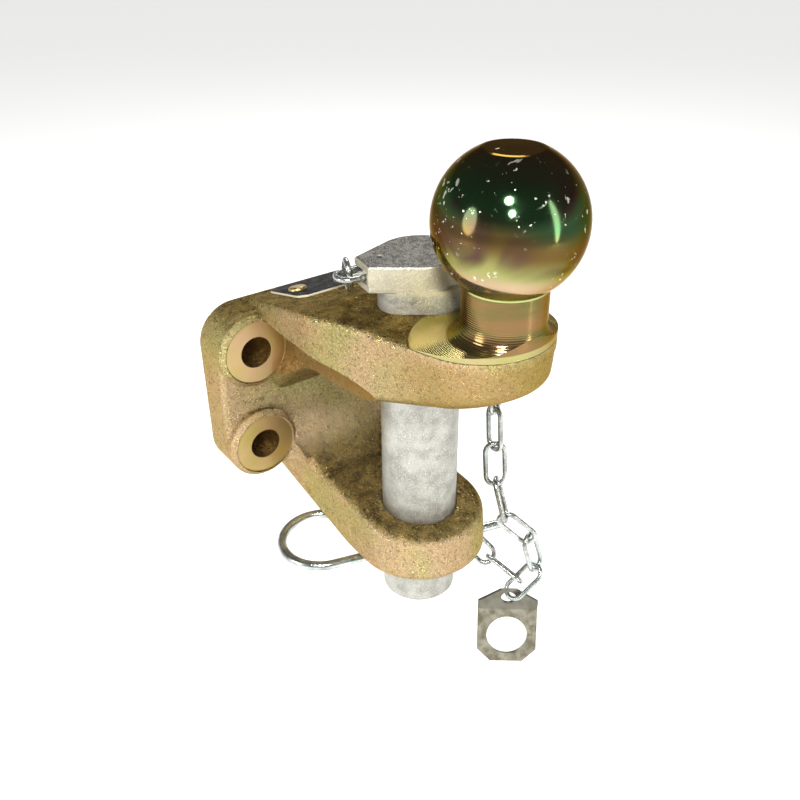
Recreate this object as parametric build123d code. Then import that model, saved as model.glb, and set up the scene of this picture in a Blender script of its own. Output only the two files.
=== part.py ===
from build123d import *
import os
from math import asin, atan2, cos, degrees, hypot, radians, sin, sqrt, tan

# Combined ball-and-pin towing hitch with its retaining clip, safety chain and anchor tag.
# Millimetres, +Z up. +X runs from the bolted flange to the ball, +Y to the left.
# Origin: centre of the four-bolt pattern, on the flange's back face.

# ---- ball and neck
BALL_R = 25.0
BALL_X = 116.7
BALL_Z = 96.0
BALL_FLAT_R = 9.8
NECK_R = 14.4
NECK_FILLET = 6.5

# ---- flange, for the 3 3/8 x 1 3/4 inch towing pattern with 1/2 inch bolts
BOLT_Y = 85.73 / 2
BOLT_Z = 44.45 / 2
BOLT_HOLE_R = 6.75
FLANGE_W = 117.0
FLANGE_H = 77.0
FLANGE_T = 15.5
FLANGE_CORNER = 16.0
BOSS_FRONT = 19.4
BOSS_R = 15.8
SPOT_R = 13.5

# ---- upper tongue, which carries the ball
PIN_X = 72.0
TONGUE_TOP = 54.6
TONGUE_HALF = 41.0
TAPER_START = 58.0
TIP_X = 104.3
TIP_R = 27.0
TONGUE_DRAFT = 4.0
TONGUE_LOWER_ROUND = 7.0
TONGUE_UPPER_ROUND = 2.5
PAD_R = 32.0
PAD_TOP = 56.8

# ---- lower jaw
JAW_HALF = 27.5
JAW_TOP = -38.8
JAW_BOTTOM = -60.9
JAW_DRAFT = 4.0
JAW_SLOPE = 5.4
JAW_HEEL = -48.0
THROAT_ROUND = 22.0
ROOT_FLARE = 11.0
JAW_LOWER_ROUND = 3.5
JAW_UPPER_ROUND = 4.0

# ---- drop pin
PIN_R = 15.5
BORE_R = 16.0
PIN_BOTTOM = -85.7
PIN_CHAMFER = 3.5
HEAD_BOTTOM = 62.6
HEAD_TOP = 72.6
LUG_REACH = 23.6
LUG_END_HALF = 5.7
LUG_TURN = -99.8
COLLAR_HALF = 15.9
COLLAR_CORNER = 9.0
COLLAR_TURN = 53.8
SEAT_GAP = 0.05
SEAT_R = 19.1
SLOT_FROM = 10.5
SLOT_Z = 67.6
SLOT_H = 4.6
ROLL_PIN_X = 15.8
ROLL_PIN_Y = -1.7
ROLL_PIN_R = 1.5
CLIP_HOLE_R = 2.5

# ---- retaining clip, bent from one wire
WIRE_R = 2.1
CLIP_Z = -63.6
CLIP_TURN = 73.6
LEG_END = 40.3
BOW_AT = -39.0
BOW_R = 17.6

# ---- data plate and its rivets
PLATE_L = 29.0
PLATE_W = 56.0
PLATE_T = 0.8
PLATE_X = 18.5
RIVET_Y = 21.4
RIVET_R = 2.0
PRESS_GAP = 0.05
RAMP = degrees(atan2(13.8, 52.0))

# ---- chain: each link is turned a quarter or so from its neighbour
LINK_WIRE = 2.2
LINK_L = 21.6
LINK_W = 10.6
LINK_GAP = 0.45
LINK_END = (LINK_L - LINK_WIRE) / 2
LINK_BEND = (LINK_W - LINK_WIRE) / 2
LINK_STRAIGHT = LINK_END - LINK_BEND

# Compass heading, climb and roll of each link, in degrees, as the chain lies.
OVER_TONGUE = [(150, -36, 80), (105, -3, -18), (90, 2, 70), (65, 9, -42), (49, -13, 32)]
DOWN_SIDE = [(36, -74, -58), (-30, -82, -40), (-36, -80, 50), (-36, -80, 120), (-25, -78, 70)]
TO_TAG = [(-22, -78, 14), (-10, -60, -50), (48, -42, -80), (50, -74, 35), (-108, -44, -22)]
FROM_CLIP = [(-10, -52, 90), (24, -34, 50), (16, -18, -45)]
FIRST_HOOK = (61.8, -24.8, 67.6)
CLIP_HOOK = (58.8, 32.0, CLIP_Z)

# ---- anchor tag, a bent plate
TAG_FACING = -38.0
TAG_TILT = 17.0
TAG_T = 1.5
TAG_W = 27.5
TAG_H = 27.0
TAG_BAND = 11.5
TAG_EYE_R = 3.4
TAG_EYE_UP = 6.9
TAG_EYE_DROP = 0.7
TAG_HOLE_R = 9.4
TAG_HOLE_DOWN = 13.6
TAG_CHAMFER = 6.2

BASE = (Align.CENTER, Align.CENTER, Align.MIN)

os.makedirs("parts", exist_ok=True)


def tangent_point(x, y, centre_x, radius):
    """Point where the line from (x, y) touches the tip circle, on the +y side."""
    reach = hypot(centre_x - x, y)
    turn = atan2(-y, centre_x - x) + asin(radius / reach)
    run = sqrt(reach**2 - radius**2)
    return (x + run * cos(turn), y + run * sin(turn))


def front_plane(x):
    return Plane(origin=(x, 0, 0), x_dir=(0, 1, 0), z_dir=(1, 0, 0))


def side_slab(points, corners, half_width):
    """Side-view outline in X and Z, with rounded corners, extruded to both sides."""
    outline = Polygon(*points, align=None)
    for x, z, radius in corners:
        near = outline.vertices().sort_by_distance((x, z, 0))[0]
        outline = fillet(near, radius)
    return extrude(Plane.XZ * outline, half_width, both=True)


def outline_edges(body, low, high, x_from):
    """Edges along the body's outline whose ends lie between two heights."""
    found = []
    for edge in body.edges():
        a = edge.start_point()
        b = edge.end_point()
        across = edge.geom_type == GeomType.LINE and abs(a.Y - b.Y) > 20
        upright = hypot(a.X - b.X, a.Y - b.Y) < 0.1
        level = low < min(a.Z, b.Z) and max(a.Z, b.Z) < high
        if level and min(a.X, b.X) > x_from and not across and not upright:
            found.append(edge)
    return found


def flange():
    plate = extrude(front_plane(0) * RectangleRounded(FLANGE_W, FLANGE_H, FLANGE_CORNER), FLANGE_T)
    plate = fillet(plate.faces().sort_by(Axis.X)[-1].edges(), 2.5)
    boss = extrude(front_plane(FLANGE_T - 3) * Circle(BOSS_R), BOSS_FRONT - FLANGE_T + 3)
    boss = chamfer(boss.edges().sort_by(Axis.X)[-1], 2.0)
    for y in (-BOLT_Y, BOLT_Y):
        for z in (-BOLT_Z, BOLT_Z):
            plate += Pos(0, y, z) * boss
    return plate


def tongue_plan():
    tx, ty = tangent_point(TAPER_START, TONGUE_HALF, TIP_X, TIP_R)
    plan = Polygon(
        (0, 2 - TONGUE_HALF),
        (TAPER_START, -TONGUE_HALF),
        (tx, -ty),
        (tx, ty),
        (TAPER_START, TONGUE_HALF),
        (0, TONGUE_HALF - 2),
        align=None,
    )
    shoulders = [v for v in plan.vertices() if abs(v.X - TAPER_START) < 0.1]
    return fillet(shoulders, 30) + Pos(TIP_X, 0) * Circle(TIP_R)


def upper_tongue():
    tip = TIP_X + TIP_R + 5
    side = side_slab(
        [
            (0, FLANGE_H / 2 - 0.3),
            (52, 52.0),
            (76, TONGUE_TOP),
            (tip, TONGUE_TOP),
            (tip, 40.0),
            (76, 22.5),
            (34, 19.0),
            (12, -4.0),
            (0, -4.0),
        ],
        [(52, 52.0, 60), (76, TONGUE_TOP, 60), (76, 22.5, 30), (34, 19.0, 22)],
        60,
    )
    block = extrude(Plane.XY.offset(TONGUE_TOP) * tongue_plan(), -75, taper=TONGUE_DRAFT) & side
    block = fillet(outline_edges(block, 12, 42, 27), TONGUE_LOWER_ROUND)
    return fillet(outline_edges(block, 38, 60, -1), TONGUE_UPPER_ROUND)


def lower_jaw():
    """Jaw below the gap, with a root that spreads into the flange on both sides."""
    end = PIN_X + JAW_HALF + 5
    fall = tan(radians(JAW_SLOPE))
    side = side_slab(
        [
            (0, -20),
            (0, JAW_HEEL),
            (5, JAW_HEEL - 3.5),
            (58, JAW_BOTTOM),
            (end, JAW_BOTTOM),
            (end, JAW_TOP - (end - PIN_X) * fall),
            (FLANGE_T, JAW_TOP + (PIN_X - FLANGE_T) * fall),
            (FLANGE_T, -8),
            (8, -8),
        ],
        [(FLANGE_T, JAW_TOP + (PIN_X - FLANGE_T) * fall, THROAT_ROUND), (58, JAW_BOTTOM, 60)],
        60,
    )
    plan = Pos(PIN_X / 2, 0) * Rectangle(PIN_X, 2 * JAW_HALF) + Pos(PIN_X, 0) * Circle(JAW_HALF)
    middle = (JAW_TOP + JAW_BOTTOM) / 2
    block = extrude(Plane.XY.offset(middle) * plan, -40, taper=-JAW_DRAFT)
    block += extrude(Plane.XY.offset(middle) * plan, 60, taper=JAW_DRAFT)
    block = block & side
    block = fillet(outline_edges(block, -70, -43, 2), JAW_LOWER_ROUND)
    block = fillet(outline_edges(block, -43, -15, 20), JAW_UPPER_ROUND)
    reach = FLANGE_T + ROOT_FLARE
    flare = Pos(reach / 2, 0) * Rectangle(reach, 2 * (JAW_HALF + ROOT_FLARE))
    for turn in (-1, 1):
        flare -= Pos(reach, turn * (JAW_HALF + ROOT_FLARE)) * Circle(ROOT_FLARE)
    return block + (extrude(Plane.XY.offset(3 - FLANGE_H / 2) * flare, 60) & side)


def ball_and_neck():
    flat_z = sqrt(BALL_R**2 - BALL_FLAT_R**2)
    ball = Pos(BALL_X, 0, BALL_Z) * Sphere(BALL_R)
    ball -= Pos(BALL_X, 0, BALL_Z + flat_z + 5) * Box(60, 60, 10)
    ball = chamfer(ball.edges().filter_by(GeomType.CIRCLE).sort_by(Axis.Z)[-1], 0.5)
    neck = Pos(BALL_X, 0, PAD_TOP - 4) * Cylinder(NECK_R, BALL_Z - 12 - PAD_TOP + 4, align=BASE)
    foot_r = NECK_R + NECK_FILLET
    corner = Pos((NECK_R + foot_r) / 2, NECK_FILLET / 2) * Rectangle(NECK_FILLET, NECK_FILLET)
    corner -= Pos(foot_r, NECK_FILLET) * Circle(NECK_FILLET)
    fillet_ring = Pos(BALL_X, 0, PAD_TOP) * revolve(Plane.XZ * corner, Axis.Z)
    pad = Polygon(
        (0, TONGUE_TOP - 4),
        (0, PAD_TOP),
        (foot_r, PAD_TOP),
        (PAD_R, TONGUE_TOP),
        (PAD_R, TONGUE_TOP - 4),
        align=None,
    )
    pad = Pos(BALL_X, 0) * revolve(Plane.XZ * pad, Axis.Z)
    limit = extrude(Plane.XY.offset(TONGUE_TOP - 10) * tongue_plan(), 30)
    return ball + neck + ((fillet_ring + pad) & limit)


def hitch_body():
    body = flange() + upper_tongue() + lower_jaw() + ball_and_neck()
    for y in (-BOLT_Y, BOLT_Y):
        for z in (-BOLT_Z, BOLT_Z):
            body -= Pos(0, y, z) * extrude(front_plane(-1) * Circle(BOLT_HOLE_R), 40)
            body -= Pos(0, y, z) * extrude(front_plane(BOSS_FRONT - 0.5) * Circle(SPOT_R), 90)
    body -= Pos(PIN_X, 0, -90) * Cylinder(BORE_R, 160, align=BASE)
    body -= Pos(PIN_X, 0, TONGUE_TOP) * Cylinder(SEAT_R, 8, align=BASE)
    for side in (-1, 1):
        rivet = plate_frame() * Pos(0, side * RIVET_Y, -6.5)
        body -= rivet * Cylinder(RIVET_R + PRESS_GAP, 8, align=BASE)
    return body


def plate_frame():
    """Frame on the sloping top, just behind the flange's upper edge."""
    return Pos(PLATE_X, 0, FLANGE_H / 2 - 0.3 + PLATE_X * tan(radians(RAMP))) * Rot(0, -RAMP, 0)


def drop_pin():
    shank = Pos(PIN_X, 0, PIN_BOTTOM) * Cylinder(PIN_R, HEAD_BOTTOM - PIN_BOTTOM + 1, align=BASE)
    shank = chamfer(shank.edges().sort_by(Axis.Z)[0], PIN_CHAMFER)
    seat = TONGUE_TOP + SEAT_GAP
    collar = extrude(RectangleRounded(2 * COLLAR_HALF, 2 * COLLAR_HALF, COLLAR_CORNER), HEAD_BOTTOM - seat + 1)
    collar = Pos(PIN_X, 0, seat) * Rot(0, 0, COLLAR_TURN) * collar
    end = Pos(LUG_REACH - 1, 0) * Rectangle(2, 2 * LUG_END_HALF)
    outline = make_hull(Circle(COLLAR_HALF).edges() + end.edges())
    lug = extrude(outline, HEAD_TOP - HEAD_BOTTOM)
    lug = fillet(lug.edges().group_by(Axis.Z)[-1], 0.9)
    lug = fillet(lug.edges().group_by(Axis.Z)[0], 0.6)
    slot = Box(30, 30, SLOT_H, align=(Align.MIN, Align.MAX, Align.CENTER))
    lug -= Pos(SLOT_FROM, LUG_END_HALF - 1.4, SLOT_Z - HEAD_BOTTOM) * slot
    lug_at = Pos(PIN_X, 0, HEAD_BOTTOM) * Rot(0, 0, LUG_TURN)
    pin = shank + collar + lug_at * lug
    pin -= lug_at * Pos(ROLL_PIN_X, ROLL_PIN_Y) * Cylinder(ROLL_PIN_R + PRESS_GAP, 20, align=BASE)
    hole = Pos(PIN_X, 0, CLIP_Z) * Rot(0, 0, CLIP_TURN) * Rot(0, 90, 0) * Cylinder(CLIP_HOLE_R, 60)
    return pin - hole


def roll_pin():
    pin = Cylinder(ROLL_PIN_R, HEAD_TOP - HEAD_BOTTOM - 0.6, align=BASE) - Cylinder(ROLL_PIN_R - 0.6, 20)
    pin -= Pos(0, 2, 5) * Box(0.6, 4, 12)
    return Pos(PIN_X, 0, HEAD_BOTTOM + 0.3) * Rot(0, 0, LUG_TURN) * Pos(ROLL_PIN_X, ROLL_PIN_Y) * pin


def retaining_clip():
    """One wire: straight leg through the pin, round bow, and a leg that passes beside the pin."""
    leg = Line((LEG_END, 0), (BOW_AT, 0))
    bow = ThreePointArc((BOW_AT, 0), (BOW_AT - BOW_R, BOW_R), (BOW_AT, 2 * BOW_R))
    side = PIN_R + WIRE_R + 0.6
    back = Spline(
        (BOW_AT, 2 * BOW_R),
        (-18, side + 2.6),
        (0, side),
        (12, side + 1.0),
        (22, side + 3.5),
        tangents=[(1, 0), (1, 0)],
    )
    tip = Line((22, side + 3.5), (31, side + 3.5))
    path = Wire([leg, bow, back, tip])
    wire = sweep(Plane(origin=(LEG_END, 0, 0), z_dir=(-1, 0, 0)) * Circle(WIRE_R), path=path)
    return Pos(PIN_X, 0, CLIP_Z) * Rot(0, 0, CLIP_TURN) * wire


def data_plate():
    outline = Rectangle(PLATE_L, PLATE_W)
    outline = chamfer(outline.vertices(), 3.2)
    plate = Pos(0, 0, 0.05) * extrude(outline, PLATE_T)
    for side in (-1, 1):
        plate -= Pos(0, side * RIVET_Y, -1) * Cylinder(RIVET_R + 0.1, 4, align=BASE)
    return plate_frame() * plate


def rivets():
    shank = Pos(0, 0, -6) * Cylinder(RIVET_R, 6.9, align=BASE)
    head = Pos(0, 0, 0.9) * Cylinder(1.9 * RIVET_R, 1.4, align=BASE)
    head = fillet(head.edges().sort_by(Axis.Z)[-1], 1.2)
    rivet = shank + head
    return Compound([plate_frame() * Pos(0, side * RIVET_Y, 0) * rivet for side in (-1, 1)])


def link_axes(heading, climb, roll):
    """Direction along a link, and across its flat side."""
    a = radians(heading)
    e = radians(climb)
    r = radians(roll)
    along = Vector(cos(a) * cos(e), sin(a) * cos(e), sin(e))
    level = Vector(-sin(a), cos(a), 0)
    return along, level * cos(r) + along.cross(level) * sin(r)


def bend_point(pull, along, across):
    """Point on a link's end bend that takes the pull, seen from the bend's centre."""
    push = along * pull.dot(along) + across * pull.dot(across)
    return push.normalized() * LINK_BEND


def chain_run(start, headings):
    """Links hooked one into the next; start is the wire centre of the first link's near end."""
    links = []
    for heading, climb, roll in headings:
        along, across = link_axes(heading, climb, roll)
        centre = start + along * LINK_END
        if links:
            last, last_along, last_across = links[-1]
            pull = (along + last_along).normalized()
            hook = last + last_along * LINK_STRAIGHT + bend_point(pull, last_along, last_across)
            reach = bend_point(pull, along, across) - pull * (LINK_WIRE + LINK_GAP)
            centre = hook + reach + along * LINK_STRAIGHT
        links.append((centre, along, across))
    return links


def lay_chain():
    """The main run from the roll pin to the tag, and the short run from the clip."""
    along = link_axes(LUG_TURN, 0, 0)[0]
    roll_pin_at = Pos(PIN_X, 0, SLOT_Z) * Rot(0, 0, LUG_TURN) * Pos(ROLL_PIN_X, ROLL_PIN_Y)
    start = roll_pin_at.position - along * (ROLL_PIN_R + LINK_WIRE / 2 + 0.3)
    first = chain_run(start, [(LUG_TURN, 0, 0)])
    main_run = OVER_TONGUE + DOWN_SIDE + TO_TAG
    start = Vector(*FIRST_HOOK) - link_axes(*main_run[0])[0] * (LINK_WIRE + LINK_GAP)
    first += chain_run(start, main_run)
    start = Vector(*CLIP_HOOK) - link_axes(*FROM_CLIP[0])[0] * (WIRE_R + LINK_WIRE / 2 + 0.4)
    return first, chain_run(start, FROM_CLIP)


def chain_link():
    path = SlotCenterToCenter(2 * LINK_STRAIGHT, 2 * LINK_BEND).wire()
    section = Plane(origin=path.position_at(0), z_dir=path.tangent_at(0)) * Circle(LINK_WIRE / 2)
    return sweep(section, path=path)


def anchor_tag(hang):
    """Plate with a large hole, under an upright band that takes the last link."""
    half = TAG_W / 2
    lower = Polygon(
        (-half, 0),
        (-half, TAG_CHAMFER - TAG_H),
        (TAG_CHAMFER - half, -TAG_H),
        (half - TAG_CHAMFER, -TAG_H),
        (half, TAG_CHAMFER - TAG_H),
        (half, 0),
        align=None,
    )
    band = Polygon(
        (-half, 0),
        (half, 0),
        (half, TAG_BAND - 7.0),
        (3.6, TAG_BAND),
        (-3.6, TAG_BAND),
        (-half, TAG_BAND - 7.0),
        align=None,
    )
    lower -= Pos(0, -TAG_HOLE_DOWN) * Circle(TAG_HOLE_R)
    band -= Pos(0, TAG_EYE_UP) * Circle(TAG_EYE_R)
    plate = extrude(band, TAG_T / 2, both=True)
    plate += Rot(-TAG_TILT, 0, 0) * extrude(lower, TAG_T / 2, both=True)
    plate += Rot(0, 90, 0) * Cylinder(TAG_T / 2, TAG_W)
    facing = radians(TAG_FACING)
    bend = hang - Vector(0, 0, TAG_EYE_DROP + TAG_EYE_UP)
    across = (-sin(facing), cos(facing), 0)
    return Plane(origin=bend, x_dir=across, z_dir=(cos(facing), sin(facing), 0)) * plate


def save(name, shape):
    export_step(shape, f"parts/{name}.step")


def main():
    save("hitch_body", hitch_body())
    save("drop_pin", drop_pin())
    save("roll_pin", roll_pin())
    save("retaining_clip", retaining_clip())
    save("data_plate", data_plate())
    save("plate_rivets", rivets())
    main_run, clip_run = lay_chain()
    link = chain_link()
    for number, (centre, along, across) in enumerate(main_run + clip_run, 1):
        place = Plane(origin=centre, x_dir=along, z_dir=along.cross(across))
        save(f"chain_link_{number:02d}", place * link)
    last, along, across = main_run[-1]
    save("anchor_tag", anchor_tag(last + along * LINK_END))


main()
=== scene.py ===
import math

import bpy
from mathutils import Matrix, Vector


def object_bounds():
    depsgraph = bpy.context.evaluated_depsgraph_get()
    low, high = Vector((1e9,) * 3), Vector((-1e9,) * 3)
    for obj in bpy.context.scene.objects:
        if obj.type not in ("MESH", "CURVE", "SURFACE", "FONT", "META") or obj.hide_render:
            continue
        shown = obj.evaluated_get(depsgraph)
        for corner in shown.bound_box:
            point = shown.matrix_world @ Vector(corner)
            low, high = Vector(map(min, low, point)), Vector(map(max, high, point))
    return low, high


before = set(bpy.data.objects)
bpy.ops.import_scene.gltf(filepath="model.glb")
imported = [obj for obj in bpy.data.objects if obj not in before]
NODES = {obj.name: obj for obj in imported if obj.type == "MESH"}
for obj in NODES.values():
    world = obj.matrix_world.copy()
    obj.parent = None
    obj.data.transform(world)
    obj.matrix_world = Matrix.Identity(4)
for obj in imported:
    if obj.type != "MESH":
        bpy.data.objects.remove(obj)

CAD_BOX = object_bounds()

# Where the part's worked surfaces lie, in metres, in the row frame.
BALL = (0.1167, 0.0, 0.096)
BALL_R = 0.025
NECK_FOOT_R = 0.0209
PAD_R = 0.032
PAD_TOP = 0.0568
TONGUE_TOP = 0.0546
PIN_AXIS = (0.072, 0.0, 0.0)
BORE_R = 0.016
BOLT_Y = 0.042865
BOLT_Z = 0.022225
BOLTS = [(y, z) for y in (-BOLT_Y, BOLT_Y) for z in (-BOLT_Z, BOLT_Z)]
HOLE_R = 0.00675
SPOT_R = 0.0135
BOSS_R = 0.0158

# Spacing of the marks a lathe leaves, in radians per metre.
PAD_RINGS = 9500.0
NECK_LINES = 8200.0
SPOT_RINGS = 8800.0
PIN_LINES = 6500.0

# The camera: degrees, millimetres for the lens and sensor, metres for its place.
CAMERA_TURN = 53.78
CAMERA_RISE = 31.23
CAMERA_ROLL = -0.36
CAMERA_LENS = 39.46
CAMERA_SENSOR = 36.0
CAMERA_PLACE = (0.3063, -0.1814, 0.1895)

FLOOR_REACH = 6.0
FLOOR_GLOW = 0.72

# Soft lights: name, place, point aimed at, size, watts, colour.
WHITE = (1.0, 1.0, 1.0)
LIGHTS = [
    ("key", (0.50, -0.42, 0.70), (0.08, 0.0, 0.02), (0.16, 0.16), 5.6, WHITE),
    ("left_fill", (-0.05, -0.80, 0.22), (0.06, 0.0, 0.0), (0.3, 0.5), 2.6, WHITE),
    ("right_fill", (0.80, 0.30, 0.22), (0.08, 0.0, 0.0), (0.12, 0.7), 2.2, (1.0, 0.98, 0.94)),
    ("back_top", (-0.45, 0.45, 0.75), (0.06, 0.0, 0.05), (0.3, 0.3), 3.2, WHITE),
    ("flash", (0.335, -0.19, 0.26), (0.09, 0.0, 0.03), (0.045, 0.045), 1.1, WHITE),
]


class Material:
    """A node material, with short calls for the nodes it is made of."""

    def __init__(self, name, metallic, edge=(1.0, 1.0, 1.0), specular=0.5):
        self.mat = bpy.data.materials.new(name)
        self.mat.use_nodes = True
        self.tree = self.mat.node_tree
        self.shader = self.tree.nodes["Principled BSDF"]
        self.shader.inputs["Metallic"].default_value = metallic
        self.shader.inputs["Specular Tint"].default_value = (*edge, 1.0)
        self.shader.inputs["Specular IOR Level"].default_value = specular
        self.place = self.tree.nodes.new("ShaderNodeTexCoord").outputs["Object"]
        self.normal = self.tree.nodes.new("ShaderNodeNewGeometry").outputs["Normal"]

    def link(self, value, socket):
        if isinstance(value, bpy.types.NodeSocket):
            self.tree.links.new(value, socket)
        elif isinstance(value, tuple) and socket.type == "RGBA" and len(value) == 3:
            socket.default_value = (*value, 1.0)
        else:
            socket.default_value = value

    def math(self, op, a, b=0.0, clamp=False):
        node = self.tree.nodes.new("ShaderNodeMath")
        node.operation = op
        node.use_clamp = clamp
        self.link(a, node.inputs[0])
        self.link(b, node.inputs[1])
        return node.outputs[0]

    def times(self, a, b):
        return self.math("MULTIPLY", a, b)

    def ramp(self, value, low, high, out_low=0.0, out_high=1.0):
        """Smooth step from out_low to out_high as value goes from low to high."""
        node = self.tree.nodes.new("ShaderNodeMapRange")
        node.interpolation_type = "SMOOTHSTEP"
        self.link(value, node.inputs["Value"])
        limits = {"From Min": low, "From Max": high, "To Min": out_low, "To Max": out_high}
        for name, number in limits.items():
            node.inputs[name].default_value = number
        return node.outputs["Result"]

    def below(self, value, low, high):
        """1 where value is under low, falling smoothly to 0 at high."""
        return self.ramp(value, low, high, 1.0, 0.0)

    def split(self, vector):
        node = self.tree.nodes.new("ShaderNodeSeparateXYZ")
        self.link(vector, node.inputs[0])
        return node.outputs

    def moved(self, vector, offset=(0, 0, 0), scale=(1, 1, 1)):
        node = self.tree.nodes.new("ShaderNodeMapping")
        self.link(vector, node.inputs["Vector"])
        node.inputs["Location"].default_value = offset
        node.inputs["Scale"].default_value = scale
        return node.outputs[0]

    def noise(self, scale, detail=3.0, rough=0.55, distortion=0.0, place=None):
        node = self.tree.nodes.new("ShaderNodeTexNoise")
        self.link(self.place if place is None else place, node.inputs["Vector"])
        node.inputs["Scale"].default_value = scale
        node.inputs["Detail"].default_value = detail
        node.inputs["Roughness"].default_value = rough
        node.inputs["Distortion"].default_value = distortion
        return node.outputs[0]

    def cells(self, scale, feature="F1", output="Distance"):
        node = self.tree.nodes.new("ShaderNodeTexVoronoi")
        node.feature = feature
        self.link(self.place, node.inputs["Vector"])
        node.inputs["Scale"].default_value = scale
        return node.outputs[output]

    def mix(self, factor, a, b):
        node = self.tree.nodes.new("ShaderNodeMix")
        node.data_type = "RGBA"
        self.link(factor, node.inputs["Factor"])
        self.link(a, node.inputs[6])
        self.link(b, node.inputs[7])
        return node.outputs[2]

    def blend(self, factor, a, b):
        node = self.tree.nodes.new("ShaderNodeMix")
        node.data_type = "FLOAT"
        self.link(factor, node.inputs["Factor"])
        self.link(a, node.inputs[2])
        self.link(b, node.inputs[3])
        return node.outputs[0]

    def distance(self, point, scale=(1, 1, 1)):
        """Distance from a point; a scale of 0 along an axis measures from a line."""
        offset = tuple(-p * s for p, s in zip(point, scale))
        node = self.tree.nodes.new("ShaderNodeVectorMath")
        node.operation = "LENGTH"
        self.link(self.moved(self.place, offset, scale), node.inputs[0])
        return node.outputs["Value"]

    def bump(self, height, strength, depth, under=None):
        node = self.tree.nodes.new("ShaderNodeBump")
        node.inputs["Strength"].default_value = strength
        node.inputs["Distance"].default_value = depth
        self.link(height, node.inputs["Height"])
        if under is not None:
            self.link(under, node.inputs["Normal"])
        return node.outputs[0]

    def finish(self, colour, rough, normal):
        self.link(colour, self.shader.inputs["Base Color"])
        self.link(rough, self.shader.inputs["Roughness"])
        self.link(normal, self.shader.inputs["Normal"])
        return self.mat


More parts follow.
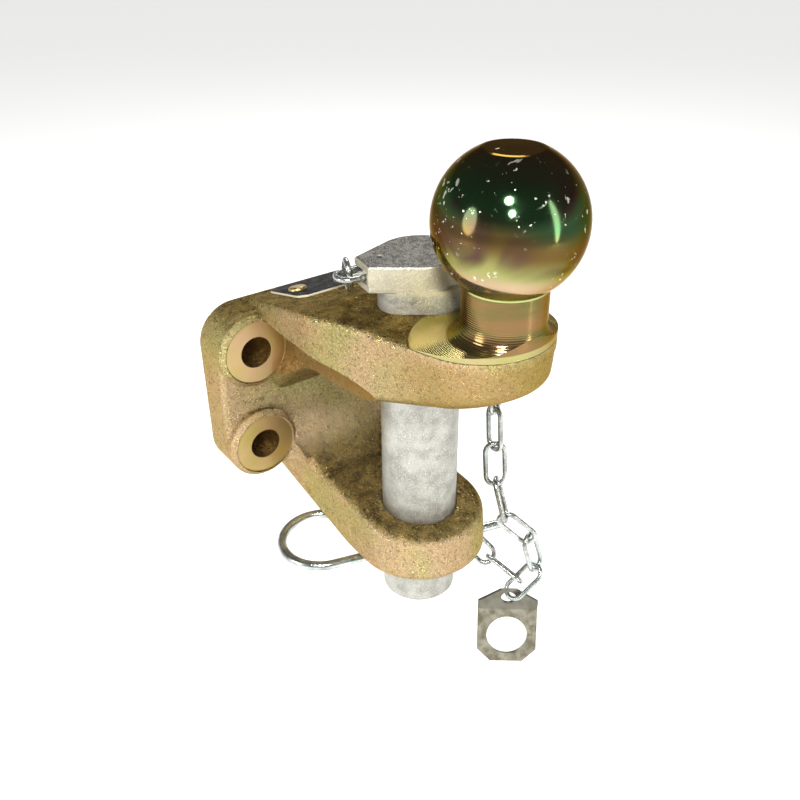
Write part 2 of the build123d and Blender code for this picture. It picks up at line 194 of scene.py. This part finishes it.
def body_material():
    """Yellow-passivated zinc over a rough forging, with turned and polished areas."""
    m = Material("yellow_passivated_forging", 0.93, edge=(0.55, 0.42, 0.24))
    x, y, z = m.split(m.place)
    nx, _, nz = m.split(m.normal)

    # Forged skin: pinkish beige to yellow-green drifts, with painted shade making it darker and olive
    # where it faces up.
    drift = m.ramp(m.noise(26, 3, 0.5, 0.6), 0.36, 0.66)
    skin = m.mix(drift, (0.47, 0.34, 0.20), (0.36, 0.33, 0.13))
    warm = m.ramp(m.noise(60, 4, 0.6), 0.42, 0.75)
    skin = m.mix(m.times(warm, 0.55), skin, (0.50, 0.30, 0.17))
    # Painted shade: faces that point up get a darker olive mottle.
    painted_top_shade = m.ramp(nz, 0.55, 0.95)
    top = m.mix(m.ramp(m.noise(170, 4, 0.65), 0.3, 0.72), (0.05, 0.034, 0.012), (0.36, 0.26, 0.09))
    skin = m.mix(painted_top_shade, skin, top)
    # Painted glints: fine bright flecks stand in for highlights on the grain.
    painted_glints = m.ramp(m.noise(1900, 2, 0.6), 0.54, 0.7)
    skin = m.mix(m.times(painted_glints, 0.75), skin, (0.90, 0.72, 0.34))
    pits = m.below(m.noise(1000, 3, 0.65), 0.34, 0.5)
    skin = m.mix(m.times(pits, 0.6), skin, (0.10, 0.068, 0.025))
    # Painted shade: faces that point down are darkened.
    painted_under_shade = m.below(nz, -0.9, -0.35)
    skin = m.mix(m.times(painted_under_shade, 0.6), skin, (0.16, 0.09, 0.03))
    # Painted shade: the upper tongue is darkened between x = 85 and 120 mm, from z = 0 up to just under
    # its top.
    front = m.times(m.ramp(x, 0.085, 0.12), m.below(z, 0.05, 0.056))
    front = m.times(front, m.ramp(z, 0.0, 0.02))
    skin = m.mix(m.times(front, 0.55), skin, (0.28, 0.17, 0.04))
    skin_rough = m.ramp(m.noise(420, 3, 0.6), 0.3, 0.7, 0.22, 0.42)

    # Pad and neck turned on a lathe; the rings follow the ball's axis.
    axis_r = m.distance(BALL, (1, 1, 0))
    rings = m.math("SINE", m.times(axis_r, PAD_RINGS))
    lines = m.math("SINE", m.times(z, NECK_LINES))
    disc = m.below(axis_r, PAD_R - 0.0004, PAD_R + 0.0002)
    pad = m.times(disc, m.ramp(z, TONGUE_TOP - 0.0001, TONGUE_TOP + 0.0002))
    pad_colour = m.mix(m.ramp(m.noise(55, 3), 0.35, 0.65), (0.36, 0.33, 0.13), (0.40, 0.33, 0.16))
    colour = m.mix(pad, skin, pad_colour)
    rough = m.blend(pad, skin_rough, 0.2)
    foot = m.below(axis_r, NECK_FOOT_R - 0.0004, NECK_FOOT_R + 0.0003)
    neck = m.times(foot, m.ramp(z, PAD_TOP + 0.0001, PAD_TOP + 0.0005))
    neck_mix = m.ramp(m.noise(30, 3, 0.5, 1.0, m.moved(m.place, (0, 0, 0), (1, 1, 4))), 0.38, 0.62)
    neck_colour = m.mix(neck_mix, (0.24, 0.14, 0.06), (0.15, 0.135, 0.045))
    colour = m.mix(neck, colour, neck_colour)
    rough = m.blend(neck, rough, 0.16)

    # Ball: polished, with the passivation's colours in soft bands.
    ball = m.below(m.distance(BALL), BALL_R + 0.0002, BALL_R + 0.0006)
    sway = m.times(m.noise(20, 2, 0.5, 0.6), 0.02)
    height = m.math("ADD", m.math("ADD", z, sway), m.times(y, 0.12))
    low = m.mix(m.ramp(height, 0.082, 0.09), (0.42, 0.46, 0.18), (0.46, 0.33, 0.22))
    low = m.mix(m.ramp(height, 0.089, 0.096), low, (0.26, 0.27, 0.09))
    rise = m.mix(m.ramp(height, 0.094, 0.103), low, (0.12, 0.075, 0.022))
    crown = m.mix(m.ramp(height, 0.104, 0.112), rise, (0.035, 0.085, 0.035))
    crown = m.mix(m.ramp(height, 0.116, 0.127), crown, (0.085, 0.06, 0.035))
    tint = m.mix(m.ramp(m.noise(34, 2, 0.5, 1.2), 0.5, 0.7), crown, (0.07, 0.036, 0.03))
    tint = m.mix(m.ramp(height, 0.092, 0.1), crown, tint)
    scratch_place = m.moved(m.place, (0.3, 0.1, 0.0), (1.0, 0.18, 0.6))
    scratch = m.ramp(m.noise(430, 2, 0.5, 0.4, scratch_place), 0.66, 0.69)
    chips = m.times(m.ramp(m.noise(420, 3, 0.6), 0.64, 0.67), m.ramp(m.noise(34, 2), 0.52, 0.6))
    marks = m.math("MAXIMUM", m.times(scratch, m.ramp(m.noise(48, 2), 0.5, 0.62)), chips)
    ball_colour = m.mix(m.times(marks, 0.8), tint, (0.85, 0.84, 0.72))
    colour = m.mix(ball, colour, ball_colour)
    rough = m.blend(ball, rough, m.blend(marks, m.ramp(m.noise(90, 3), 0.3, 0.7, 0.07, 0.14), 0.45))

    # Spot faces round the bolt holes; painted shade darkens the walls the cutter left above them, the
    # pin bores and the insides of the bolt holes.
    facing_x = m.ramp(nx, 0.93, 0.985)
    on_face = m.times(m.ramp(x, 0.0182, 0.0186), m.below(x, 0.0194, 0.0199))
    spot = 0.0
    painted_wall_shade = 0.0
    turned = 0.0
    deep = 0.0
    for bolt_y, bolt_z in BOLTS:
        reach = m.distance((0, bolt_y, bolt_z), (0, 1, 1))
        spot = m.math("MAXIMUM", spot, m.below(reach, SPOT_R - 0.0002, SPOT_R + 0.0002))
        deep = m.math("MAXIMUM", deep, m.below(reach, HOLE_R + 0.00005, HOLE_R + 0.00025))
        outside = m.ramp(reach, SPOT_R - 0.0002, SPOT_R - 0.0001)
        near = m.times(outside, m.below(reach, SPOT_R + 0.0001, SPOT_R + 0.0003))
        painted_wall_shade = m.math("MAXIMUM", painted_wall_shade, near)
        on_boss = m.below(reach, BOSS_R + 0.0002, BOSS_R + 0.0003)
        cut = m.times(on_boss, m.math("SINE", m.times(reach, SPOT_RINGS)))
        turned = m.math("MAXIMUM", turned, cut)
    spot = m.times(spot, m.times(on_face, facing_x))
    spot_colour = m.mix(m.ramp(m.noise(70, 3), 0.35, 0.7), (0.50, 0.34, 0.18), (0.42, 0.34, 0.12))
    colour = m.mix(spot, colour, spot_colour)
    rough = m.blend(spot, rough, 0.3)
    # Painted shade: the cutter's walls above the spot faces are darkened.
    painted_wall_shade = m.times(painted_wall_shade, m.ramp(x, 0.0192, 0.0196))
    painted_wall_shade = m.times(painted_wall_shade, m.below(m.math("ABSOLUTE", nx), 0.1, 0.3))
    colour = m.mix(painted_wall_shade, colour, (0.30, 0.19, 0.07))
    # Painted shade: the insides of the pin bores are darkened.
    painted_bore_shade = m.below(m.distance(PIN_AXIS, (1, 1, 0)), BORE_R + 0.0001, BORE_R + 0.0003)
    colour = m.mix(painted_bore_shade, colour, (0.2, 0.13, 0.04))
    # Painted shade: the bolt holes' walls are darkened, fading to nearly black towards the back face.
    tube = m.below(x, 0.0, 0.0178)
    holes = m.times(deep, m.below(m.math("ABSOLUTE", nx), 0.1, 0.3))
    colour = m.mix(holes, colour, m.mix(tube, (0.2, 0.12, 0.04), (0.03, 0.018, 0.006)))

    # Relief: forged grain where it is raw, fine turning elsewhere, nothing on the ball.
    worked = m.math("MAXIMUM", m.math("MAXIMUM", pad, neck), m.math("MAXIMUM", ball, spot))
    raw = m.math("SUBTRACT", 1.0, m.math("MINIMUM", worked, 1.0), True)
    grain = m.math("ADD", m.noise(950, 4, 0.7), m.times(m.noise(240, 3, 0.6), 0.5))
    turning = m.math("ADD", m.times(pad, rings), m.times(neck, lines))
    turning = m.times(turning, m.math("SUBTRACT", 1.0, ball))
    turning = m.math("ADD", turning, m.times(spot, turned))
    waves = m.bump(m.times(raw, m.noise(34, 2, 0.5)), 0.4, 0.002)
    relief = m.bump(m.times(raw, grain), 0.85, 0.00105, waves)
    relief = m.bump(turning, 0.3, 0.00007, relief)
    return m.finish(colour, rough, relief)


def zinc_material(name, light, dark, tint, grain, rough_low, rough_high):
    """Small bright metal parts: a soft mottle, a tint in places and painted glints as sandy bright
    flecks.
    """
    m = Material(name, 0.9)
    colour = m.mix(m.ramp(m.noise(120, 4, 0.6), 0.32, 0.68), dark, light)
    colour = m.mix(m.times(m.ramp(m.noise(75, 3, 0.5, 1.0), 0.5, 0.7), 0.6), colour, tint)
    # Painted glints: bright flecks stand in for highlights.
    painted_sparkle = m.ramp(m.noise(2400, 2, 0.5), 0.56, 0.7)
    colour = m.mix(m.times(painted_sparkle, 0.5), colour, (0.95, 0.95, 0.92))
    rough = m.ramp(m.noise(500, 3, 0.6), 0.3, 0.7, rough_low, rough_high)
    relief = m.bump(m.noise(900, 4, 0.65), grain, 0.00045)
    return m.finish(colour, rough, relief)


def pin_material():
    """Drop pin: matte shank with painted glints, darker grainy top of the head."""
    m = Material("zinc_pin", 0.82)
    _, _, z = m.split(m.place)
    _, _, nz = m.split(m.normal)
    colour = m.mix(m.ramp(m.noise(150, 4, 0.65), 0.3, 0.7), (0.27, 0.265, 0.23), (0.46, 0.455, 0.41))
    head_top = m.times(m.ramp(nz, 0.6, 0.95), m.ramp(z, 0.07, 0.0715))
    grainy = m.mix(m.ramp(m.noise(420, 3), 0.35, 0.65), (0.05, 0.046, 0.036), (0.17, 0.155, 0.12))
    colour = m.mix(head_top, colour, grainy)
    head_side = m.times(m.ramp(z, 0.0605, 0.0625), m.math("SUBTRACT", 1.0, head_top))
    colour = m.mix(m.times(head_side, 0.6), colour, (0.62, 0.56, 0.38))
    # Painted glints: bright flecks stand in for highlights.
    painted_glints = m.ramp(m.noise(2600, 2, 0.5), 0.52, 0.7)
    colour = m.mix(m.times(painted_glints, 0.45), colour, (0.95, 0.95, 0.93))
    worn = m.times(m.ramp(m.noise(230, 3, 0.7), 0.6, 0.7), m.below(z, -0.045, -0.03))
    colour = m.mix(m.times(worn, 0.4), colour, (0.3, 0.27, 0.2))
    lines = m.math("SINE", m.times(z, PIN_LINES))
    relief = m.bump(m.times(lines, m.below(z, 0.054, 0.0545)), 0.15, 0.00008)
    relief = m.bump(m.noise(820, 4, 0.7), 0.55, 0.0007, relief)
    rough = m.ramp(m.noise(600, 3, 0.6), 0.3, 0.7, 0.36, 0.55)
    return m.finish(colour, rough, relief)


def plate_material():
    """Dark coated plate, rubbed bright along its edges."""
    m = Material("plate_black", 0.0, specular=0.12)
    _, _, nz = m.split(m.normal)
    edge = m.below(nz, 0.3, 0.85)
    face = m.mix(m.ramp(m.noise(210, 4), 0.35, 0.7), (0.003, 0.003, 0.003), (0.012, 0.011, 0.01))
    rub = m.ramp(m.noise(330, 3, 0.6), 0.68, 0.74)
    colour = m.mix(m.math("MAXIMUM", edge, m.times(rub, 0.7)), face, (0.6, 0.56, 0.42))
    relief = m.bump(m.noise(480, 3), 0.25, 0.0003)
    return m.finish(colour, m.ramp(m.noise(260, 3), 0.3, 0.7, 0.42, 0.62), relief)


def tag_material():
    """Mottled galvanised plate, with painted shade on the leaning band."""
    m = Material("galvanised_tag", 0.72)
    _, _, z = m.split(m.place)
    spangle = m.ramp(m.cells(240, output="Distance"), 0.1, 0.7)
    colour = m.mix(spangle, (0.19, 0.175, 0.125), (0.27, 0.26, 0.2))
    colour = m.mix(m.ramp(m.noise(190, 4, 0.65), 0.4, 0.68), colour, (0.12, 0.105, 0.07))
    # Painted shade: the leaning band, above about z = -104 mm, is darkened.
    colour = m.mix(m.ramp(z, -0.1046, -0.1036, 0.0, 0.7), colour, (0.12, 0.115, 0.095))
    relief = m.bump(m.noise(700, 3, 0.6), 0.3, 0.0003)
    return m.finish(colour, m.ramp(m.noise(330, 3), 0.3, 0.7, 0.3, 0.48), relief)


def dress(node, material):
    """Gives a CAD node one material over all its faces."""
    obj = NODES[node]
    obj.data.materials.clear()
    obj.data.materials.append(material)
    for face in obj.data.polygons:
        face.material_index = 0


def dress_all():
    zinc = zinc_material(
        "zinc_chain", light=(0.58, 0.59, 0.57), dark=(0.22, 0.23, 0.21), tint=(0.32, 0.42, 0.40),
        grain=0.3, rough_low=0.16, rough_high=0.32,
    )
    wire = zinc_material(
        "zinc_wire", light=(0.60, 0.62, 0.60), dark=(0.27, 0.29, 0.27), tint=(0.28, 0.45, 0.42),
        grain=0.2, rough_low=0.12, rough_high=0.26,
    )
    brass = zinc_material(
        "rivet_brass", light=(0.78, 0.58, 0.24), dark=(0.50, 0.34, 0.12), tint=(0.84, 0.66, 0.36),
        grain=0.35, rough_low=0.25, rough_high=0.42,
    )
    dress("hitch_body", body_material())
    dress("drop_pin", pin_material())
    dress("roll_pin", wire)
    dress("retaining_clip", wire)
    dress("data_plate", plate_material())
    dress("plate_rivets", brass)
    dress("anchor_tag", tag_material())
    for name in NODES:
        if name.startswith("chain_link"):
            dress(name, zinc)


def camera():
    """Looks down on the part from in front of the ball, past its right side."""
    turn, rise, roll = (math.radians(a) for a in (CAMERA_TURN, CAMERA_RISE, CAMERA_ROLL))
    back = Vector((math.sin(turn) * math.cos(rise), -math.cos(turn) * math.cos(rise), math.sin(rise)))
    right = Vector((math.cos(turn), math.sin(turn), 0.0))
    up = back.cross(right)
    level = right * math.cos(roll) + up * math.sin(roll)
    upright = up * math.cos(roll) - right * math.sin(roll)
    data = bpy.data.cameras.new("camera")
    data.sensor_width = CAMERA_SENSOR
    data.lens = CAMERA_LENS
    data.clip_start = 0.01
    obj = bpy.data.objects.new("camera", data)
    pose = Matrix((level, upright, back)).transposed().to_4x4()
    pose.translation = Vector(CAMERA_PLACE)
    obj.matrix_world = pose
    bpy.context.scene.collection.objects.link(obj)
    bpy.context.scene.camera = obj


def area_light(name, place, aim, size, power, colour):
    data = bpy.data.lights.new(name, "AREA")
    data.shape = "ELLIPSE"
    data.size, data.size_y = size
    data.energy = power
    data.color = colour
    obj = bpy.data.objects.new(name, data)
    obj.location = place
    obj.rotation_euler = (Vector(aim) - Vector(place)).to_track_quat("-Z", "Y").to_euler()
    bpy.context.scene.collection.objects.link(obj)


def studio():
    """Pale floor under the part's lowest point, grey surroundings and soft lights."""
    world = bpy.data.worlds.new("studio")
    world.use_nodes = True
    tree = world.node_tree
    coord = tree.nodes.new("ShaderNodeTexCoord")
    parts = tree.nodes.new("ShaderNodeSeparateXYZ")
    ramp = tree.nodes.new("ShaderNodeValToRGB")
    tree.links.new(coord.outputs["Generated"], parts.inputs[0])
    tree.links.new(parts.outputs["Z"], ramp.inputs["Fac"])
    tree.links.new(ramp.outputs["Color"], tree.nodes["Background"].inputs["Color"])
    ramp.color_ramp.elements[0].position = 0.0
    ramp.color_ramp.elements[0].color = (0.95, 0.95, 0.94, 1.0)
    ramp.color_ramp.elements[1].position = 0.9
    ramp.color_ramp.elements[1].color = (0.02, 0.02, 0.02, 1.0)
    middle = ramp.color_ramp.elements.new(0.3)
    middle.color = (0.12, 0.12, 0.12, 1.0)
    tree.nodes["Background"].inputs["Strength"].default_value = 1.0
    bpy.context.scene.world = world

    low = CAD_BOX[0][2]
    mesh = bpy.data.meshes.new("floor")
    corners = [(x * FLOOR_REACH, y * FLOOR_REACH, low) for x, y in ((-1, -1), (1, -1), (1, 1), (-1, 1))]
    mesh.from_pydata(corners, [], [(0, 1, 2, 3)])
    floor = bpy.data.objects.new("floor", mesh)
    m = Material("floor_pale", 0.0)
    colour = m.mix(m.noise(3, 2), (0.9, 0.9, 0.89), (0.94, 0.94, 0.93))
    m.shader.inputs["Emission Color"].default_value = (1.0, 1.0, 0.99, 1.0)
    m.shader.inputs["Emission Strength"].default_value = FLOOR_GLOW
    mesh.materials.append(m.finish(colour, 0.8, m.bump(m.noise(300, 2), 0.02, 0.0005)))
    bpy.context.scene.collection.objects.link(floor)

    for light in LIGHTS:
        area_light(*light)
    bpy.context.scene.view_settings.view_transform = "Standard"


dress_all()
camera()
studio()
